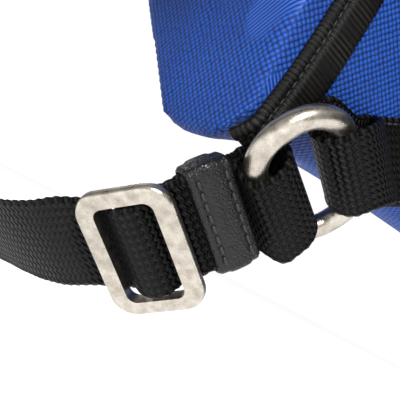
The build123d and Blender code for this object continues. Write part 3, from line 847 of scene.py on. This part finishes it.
def keeper(side, name):
    """The stitched leather band: a flat tube with soft edges, its faces slightly domed."""
    form, stitches = Form(), Form()
    inner_w, inner_h, leather_t = WEBBING + 0.8, 2 * WEB_THICK + 1.3, 1.2
    out_w, out_h, corner = inner_w + 2 * leather_t, inner_h + 2 * leather_t, 1.7
    outline = []
    for sx, sy, start in ((1, 1, 0), (-1, 1, 90), (-1, -1, 180), (1, -1, 270)):
        for a in range(0, 91, 18):
            w = math.radians(start + a)
            x = sx * (out_w / 2 - corner) + corner * math.cos(w)
            outline.append((x, sy * (out_h / 2 - corner) + corner * math.sin(w)))
    fine = []
    for (ax, ay), (bx, by) in zip(outline, outline[1:] + outline[:1]):
        gap = math.dist((ax, ay), (bx, by))
        parts = max(1, int(gap / 1.0))
        fine += [(ax + (bx - ax) * k / parts, ay + (by - ay) * k / parts) for k in range(parts)]
    run = 0.0
    places = []
    for k, p in enumerate(fine):
        places.append(run)
        run += math.dist(p, fine[(k + 1) % len(fine)])
    steps = 14
    rows = []
    for i in range(steps + 1):
        t = 2 * i / steps - 1
        dome = 0.45 * (1 - abs(t) ** 2.5) - 0.25 - 0.35 * math.exp(-(((abs(t) - 0.63) / 0.13) ** 2))
        lip = 0.55 * max(0.0, abs(t) - 0.8) / 0.2
        rows.append((t * KEEPER_WIDE / 2, dome - lip))
    rows += [(KEEPER_WIDE / 2, -leather_t + 0.1), (-KEEPER_WIDE / 2, -leather_t + 0.1)]
    count = len(fine)
    for s, grow in rows:
        for x, y in fine:
            fx = (out_w / 2 + grow) / (out_w / 2)
            fy = (out_h / 2 + grow) / (out_h / 2)
            at = keeper_at + WIDTH * (x * fx) + keeper_face * (y * fy) + strap_dir * s
            form.points.append(tuple(at))
    total = len(rows)
    for i in range(total):
        for k in range(count):
            j, n = (k + 1) % count, (i + 1) % total
            corners = (i * count + k, i * count + j, n * count + j, n * count + k)
            low, high = places[k], places[k] + 1
            form.face(corners, [(low, i), (high, i), (high, i + 1), (low, i + 1)])
    hide, node = LOOKS["black_leather"], "leather_keeper_" + name
    form.piece("keeper_hide_" + name, hide, "black_leather", node, on(side))
    for s in (-KEEPER_WIDE / 2 + 2.1, KEEPER_WIDE / 2 - 2.1):
        for y in (-1, 1):
            lift = keeper_face * (y * (out_h / 2 - 0.02))
            a = keeper_at + WIDTH * 11.4 + strap_dir * s + lift
            seam(stitches, [a, a - WIDTH * 22.8], 2.9, 0.55)
    stitches.piece("keeper_stitches_" + name, THREAD, "black_leather", node, on(side), False)


for side, name in SIDES:
    keeper(side, name)

# ------------------------------------------------------------------ pads


def pad_relief(p, no):
    x = YOKE_X + (YOKE_Z - p[:, 2]) * PAD_SPLAY
    away = np.abs(np.abs(p[:, 0]) - x)
    edge = channel(away - 20.5, 1.6, 1.3) * (p[:, 2] < 452)
    return 0.25 * waves(p, 22.0, 21) + edge + channel(np.abs(p[:, 2] - 372), 1.5, 0.9)


def wing_relief(p, no):
    low = np.minimum(np.abs(p[:, 2] - 29), np.abs(p[:, 2] - 79))
    return 0.3 * waves(p, 24.0, 25) + channel(low, 1.6, 1.2) + channel(np.abs(p[:, 1] + 74), 1.5, 0.8)


def back_pad_relief(p, no):
    return channel(np.abs(((p[:, 2]) % 42) - 21), 2.2, 1.6) * np.clip(-no[:, 1], 0, 1)


def lumbar_relief(p, no):
    lines = np.minimum(np.abs(np.abs(p[:, 0]) - 17), np.abs(np.abs(p[:, 0]) - 42))
    return channel(lines, 2.2, 1.8) * np.clip(-no[:, 1], 0, 1)


for side, name in SIDES:
    soft_copy("shoulder_foam_" + name, "shoulder_pad_" + name, 2.0, "strap_fabric", 6, pad_relief)
    soft_copy("hip_foam_" + name, "hip_wing_" + name, 1.8, "strap_fabric", 5, wing_relief)
    soft_copy("back_foam_" + name, "back_pad_" + name, 1.6, "spacer_mesh", 5, back_pad_relief)
    soft_copy("yoke_patch_" + name, "yoke_anchor_" + name, 0.6, "black_webbing", 2, mat=NARROW_WEB)
    soft_copy("haul_patch_" + name, "haul_anchor_" + name, 0.4, "black_webbing", 1)
soft_copy("lumbar_foam", "lumbar_pad", 1.6, "spacer_mesh", 5, lumbar_relief)


def fold_relief(p, no):
    layers = np.abs(np.sin(math.pi * (p[:, 2] - 400) / 9 + 0.5 * waves(p, 60.0, 31)))
    return -1.4 * (1 - layers) ** 2 + 0.5 * waves(p, 30.0, 32)


soft_copy("airbag_folds", "folded_airbag", 1.6, "airbag_fabric", 4, fold_relief)
soft_copy("cylinder_band", "cylinder_strap", 0.9, "black_webbing", 2)

# ------------------------------------------------------------------ straight webbing
AXIS_Y, AXIS_Z = Vector((0, 1, 0)), Vector((0, 0, 1))
HAUL_Y = 22
HAUL_STITCH_X = 54
haul = [(-46, 500.4), (-43, 512), (-32, 523), (-16, 527.2), (0, 528)]
haul += [(-x, z) for x, z in reversed(haul[:-1])]
form = Form()
web(form, [(Vector((x, HAUL_Y, z)), AXIS_Y) for x, z in haul], 22, 2.4, 0.9)
form.piece("haul_web", NARROW_WEB, "black_webbing", "haul_loop")

form = Form()
for x in (-HAUL_STITCH_X, HAUL_STITCH_X):
    z, half = 499.2, 9
    low_x, high_x, low_y, high_y = x - half, x + half, HAUL_Y - half, HAUL_Y + half
    box_line = [(low_x, low_y, z), (high_x, low_y, z), (high_x, high_y, z), (low_x, high_y, z)]
    box_line.append(box_line[0])
    seam(form, box_line, 2.3, 0.3)
    seam(form, [(low_x, low_y, z), (high_x, high_y, z)], 2.3, 0.3)
form.piece("haul_stitches", THREAD, "black_webbing", "haul_anchor_left", with_node=False)

SIDE_X = 138.1
PIN_X = YOKE_X + (YOKE_Z - 330.0) * PAD_SPLAY - PAD_HALF - 6
for side, name in SIDES:
    form = Form()
    for z in (122.0, 358.0):
        places = [(Vector((-SIDE_X - 0.95, y, z)), AXIS_Z) for y in (8, 40, 72, 104)]
        web(form, places, 20, 1.7, 0.9)
    form.piece("side_webs_" + name, NARROW_WEB, "black_webbing", "compression_straps_" + name, on(side))
    form = Form()
    belt = [(-77.8, -129), (-68, -146), (-50, -156), (-30, -160)]
    web(form, [(Vector((x, y, 54)), AXIS_Z) for x, y in belt], 30, 2, 0.9)
    form.piece("belt_web_" + name, LOOKS["black_webbing"], "black_webbing", "belt_webbing_" + name, on(side))
    form = Form()
    hem = [(Vector((-14.6, -95, 330)), AXIS_Z), (Vector((-PIN_X + 7, -95, 330)), AXIS_Z)]
    for angle in range(30, 331, 30):
        a = math.radians(angle)
        hem.append((Vector((-PIN_X + 2.35 * math.cos(a), -95 - 2.35 * math.sin(a), 330)), AXIS_Z))
    hem.append((Vector((-PIN_X + 8, -93.9, 330)), AXIS_Z))
    web(form, hem, 18, 1.0, 0.6)
    form.piece("chest_web_" + name, NARROW_WEB, "black_webbing", "sternum_strap_" + name, on(side))


# ------------------------------------------------------------------ zips
def zip_piece(name, node, start, end, aside, out, half_low, half_high, tooth):
    """Woven tape in two halves with a coil of teeth between them."""
    form, teeth = Form(), Form()
    start, end, aside, out = Vector(start), Vector(end), Vector(aside), Vector(out)
    for low, high in ((-half_low, -1.2), (1.2, half_high)):
        mid = (low + high) / 2
        places = [(start.lerp(end, k / 3) + aside * mid + out * 0.6, aside) for k in range(4)]
        web(form, places, high - low, 1.1, 1.6, 8)
    form.piece(name + "_tape", LOOKS["zip_tape"], "zip_tape", node)
    count = int((end - start).length / 1.9)
    for k in range(count):
        at = start.lerp(end, (k + 0.5) / count) + out * 1.7
        lean = aside + (end - start).normalized() * 0.12
        bead(teeth, at, lean, tooth, 0.78)
    teeth.piece(name + "_coil", LOOKS["black_plastic"], "zip_tape", node, with_node=False)


zip_piece("side_zip", "side_zip_tape", (SIDE_X, 60, 146), (SIDE_X, 60, 334), AXIS_Y, (1, 0, 0), 13, 13, 6.0)
zip_piece("pocket_zip", "pocket_zip_tape", (-76, 169, 320.1), (76, 169, 320.1), AXIS_Y, AXIS_Z, 6, 6, 4.0)

# ------------------------------------------------------------------ the trigger cable inside the bag
CABLE = [(55.0, 41.0, 380.7), (55.0, 41.0, 412.0), (55.0, -3.4, 412.0)]
line = bpy.data.curves.new("trigger_line", "CURVE")
line.dimensions, line.bevel_depth, line.bevel_resolution = "3D", 2.4 * MM, 6
line.use_fill_caps = True
spline = line.splines.new("NURBS")
spline.points.add(len(CABLE) - 1)
for point, place in zip(spline.points, CABLE):
    point.co = (*row(place), 1)
spline.order_u, spline.use_endpoint_u, spline.resolution_u = 3, True, 24
line.materials.append(LOOKS["hose_rubber"])
cable = bpy.data.objects.new("trigger_line", line)
bpy.context.scene.collection.objects.link(cable)
settle(cable, "trigger_cable")


# ------------------------------------------------------------------ hard parts keep their shape
for part in frame["record"]["subparts"]:
    obj = NODES.get(part["node"])
    if obj is not None and not obj.hide_render:
        for holder in obj.material_slots:
            holder.material = LOOKS[part["material_slot"]]

# ------------------------------------------------------------------ floor, light and camera
FLOOR_Z = -64.0
me = bpy.data.meshes.new("floor")
z = row((0, 0, FLOOR_Z)).z
me.from_pydata([(-9, -9, z), (9, -9, z), (9, 9, z), (-9, 9, z)], [], [(0, 1, 2, 3)])
k = Look("pale_floor")
k.done(
    k.mix(k.noise(k.place(), 3.0), (0.88, 0.88, 0.88), (0.9, 0.9, 0.9)),
    0.9,
    Emission_Color=(1, 1, 1, 1),
    Emission_Strength=0.6,
)
me.materials.append(k.mat)
floor = bpy.data.objects.new("floor", me)
bpy.context.scene.collection.objects.link(floor)

world = bpy.data.worlds.new("studio")
world.use_nodes = True
bpy.context.scene.world = world
tree = world.node_tree
back = tree.nodes["Background"]
back.inputs["Color"].default_value = (1, 1, 1, 1)
seen = tree.nodes.new("ShaderNodeBackground")
seen.inputs["Color"].default_value = (1, 1, 1, 1)
seen.inputs["Strength"].default_value = 1.05
back.inputs["Strength"].default_value = 0.4
rays = tree.nodes.new("ShaderNodeLightPath")
pick = tree.nodes.new("ShaderNodeMixShader")
tree.links.new(rays.outputs["Is Camera Ray"], pick.inputs[0])
tree.links.new(back.outputs[0], pick.inputs[1])
tree.links.new(seen.outputs[0], pick.inputs[2])
tree.links.new(pick.outputs[0], tree.nodes["World Output"].inputs["Surface"])


def lamp(name, place, target, size, watts):
    data = bpy.data.lights.new(name, "AREA")
    data.shape, data.size, data.energy = "DISK", size, watts
    obj = bpy.data.objects.new(name, data)
    bpy.context.scene.collection.objects.link(obj)
    obj.location = place
    obj.rotation_euler = (Vector(target) - Vector(place)).to_track_quat("-Z", "Y").to_euler()


AIM = row((-110, 0, 60))
lamp("key", (-1.3, -1.5, 0.6), AIM, 0.6, 56)
lamp("fill", (1.4, -1.6, 0.1), AIM, 1.1, 9)
lamp("rear", (0.4, 1.9, 0.9), AIM, 1.2, 20)

CAM_AZ, CAM_EL, CAM_ROLL = math.radians(-38), math.radians(-4), math.radians(27)
ahead = Vector((-math.sin(CAM_AZ) * math.cos(CAM_EL), math.cos(CAM_AZ) * math.cos(CAM_EL), -math.sin(CAM_EL)))
right0 = Vector((math.cos(CAM_AZ), math.sin(CAM_AZ), 0))
up0 = right0.cross(ahead)
right = right0 * math.cos(CAM_ROLL) + up0 * math.sin(CAM_ROLL)
up = up0 * math.cos(CAM_ROLL) - right0 * math.sin(CAM_ROLL)
data = bpy.data.cameras.new("camera")
data.lens, data.sensor_width, data.clip_start, data.clip_end = 69.6, 36.0, 0.005, 100.0
camera = bpy.data.objects.new("camera", data)
bpy.context.scene.collection.objects.link(camera)
turn = Matrix((right, up, -ahead)).transposed().to_4x4()
camera.matrix_world = Matrix.Translation(row((-239.4, -133.5, -26.5))) @ turn
bpy.context.scene.camera = camera
bpy.context.scene.view_settings.view_transform = "Standard"
